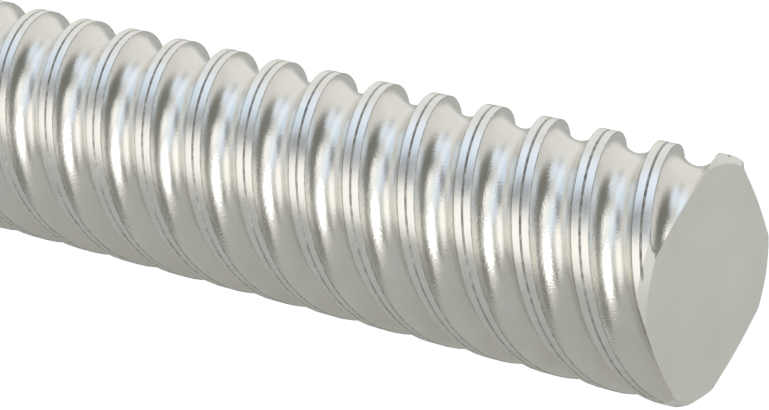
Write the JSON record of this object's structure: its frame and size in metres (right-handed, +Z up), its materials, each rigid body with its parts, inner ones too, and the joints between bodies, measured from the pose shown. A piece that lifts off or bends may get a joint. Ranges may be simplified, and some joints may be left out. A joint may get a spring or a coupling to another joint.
{
  "type": "ball screw assembly",
  "caption": "Multi-start rolled ball screw with a flanged ball nut, carried at one end by a foot-mounted bearing housing and free at the other.",
  "frame": {"origin": "centre of the underside of the bearing housing, directly below the plane where its two bearings meet", "axes": "+X along the screw towards its free end, +Z up from the mounting face, +Y to the side"},
  "size_m": [0.397, 0.086, 0.077],
  "materials": {
    "screw_steel": "satin, as rolled and hardened",
    "bearing_steel": "ground",
    "ball_steel": "polished",
    "cage_plastic": "moulded polyamide",
    "housing_black": "black oxide",
    "ground_steel": "ground",
    "nut_steel": "ground",
    "tube_steel": "drawn tube",
    "clamp_steel": "pressed sheet",
    "black_screws": "black oxide",
    "lock_nut_steel": "black oxide",
    "spring_steel": "phosphated",
    "pad_brass": "turned",
    "seal_rubber": "nitrile",
    "wiper_plastic": "moulded"
  },
  "bodies": {
    "support": {"bearing_housing": "housing_black", "bearing_cover": "housing_black", "cover_screws": "black_screws", "bearing_a_outer_ring": "bearing_steel", "bearing_b_outer_ring": "bearing_steel", "oil_seal_front": "seal_rubber", "oil_seal_rear": "seal_rubber"},
    "screw": {"ball_screw_shaft": "screw_steel", "shaft_collar_front": "ground_steel", "shaft_collar_rear": "ground_steel", "bearing_a_inner_ring": "bearing_steel", "bearing_b_inner_ring": "bearing_steel", "lock_nut": "lock_nut_steel", "lock_nut_pad": "pad_brass", "lock_nut_set_screw": "black_screws"},
    "cage_a": {"bearing_a_balls": "ball_steel", "bearing_a_cage": "cage_plastic"},
    "cage_b": {"bearing_b_balls": "ball_steel", "bearing_b_cage": "cage_plastic"},
    "nut": {"nut_body": "nut_steel", "nut_flange": "nut_steel", "flange_set_screw": "black_screws", "return_tube_1": "tube_steel", "return_tube_2": "tube_steel", "tube_clamp_1": "clamp_steel", "tube_clamp_2": "clamp_steel", "clamp_screws": "black_screws", "balls_circuit_1": "ball_steel", "balls_circuit_2": "ball_steel", "wiper_rear": "wiper_plastic", "wiper_front": "wiper_plastic", "wiper_ring_rear": "spring_steel", "wiper_ring_front": "spring_steel", "grease_fitting": "pad_brass"}
  },
  "joints": [
    {"name": "nut_travel", "type": "slide", "parent": "support", "child": "nut", "axis": [1, 0, 0], "range_m": [-0.0508, 0.1397]},
    {"name": "screw_turn", "type": "hinge", "parent": "support", "child": "screw", "pos_m": [0, 0, 0.039], "axis": [-1, 0, 0], "range_deg": [-721, 1981]},
    {"name": "cage_a_turn", "type": "hinge", "parent": "support", "child": "cage_a", "pos_m": [0.006, 0, 0.039], "axis": [-1, 0, 0], "range_deg": [-289, 793]},
    {"name": "cage_b_turn", "type": "hinge", "parent": "support", "child": "cage_b", "pos_m": [-0.006, 0, 0.039], "axis": [-1, 0, 0], "range_deg": [-289, 793]}
  ],
  "couplings": [
    {"joint": "screw_turn", "follows": "nut_travel", "rad_per_m": 247.37},
    {"joint": "cage_a_turn", "follows": "nut_travel", "rad_per_m": 98.948},
    {"joint": "cage_b_turn", "follows": "nut_travel", "rad_per_m": 98.948}
  ]
}
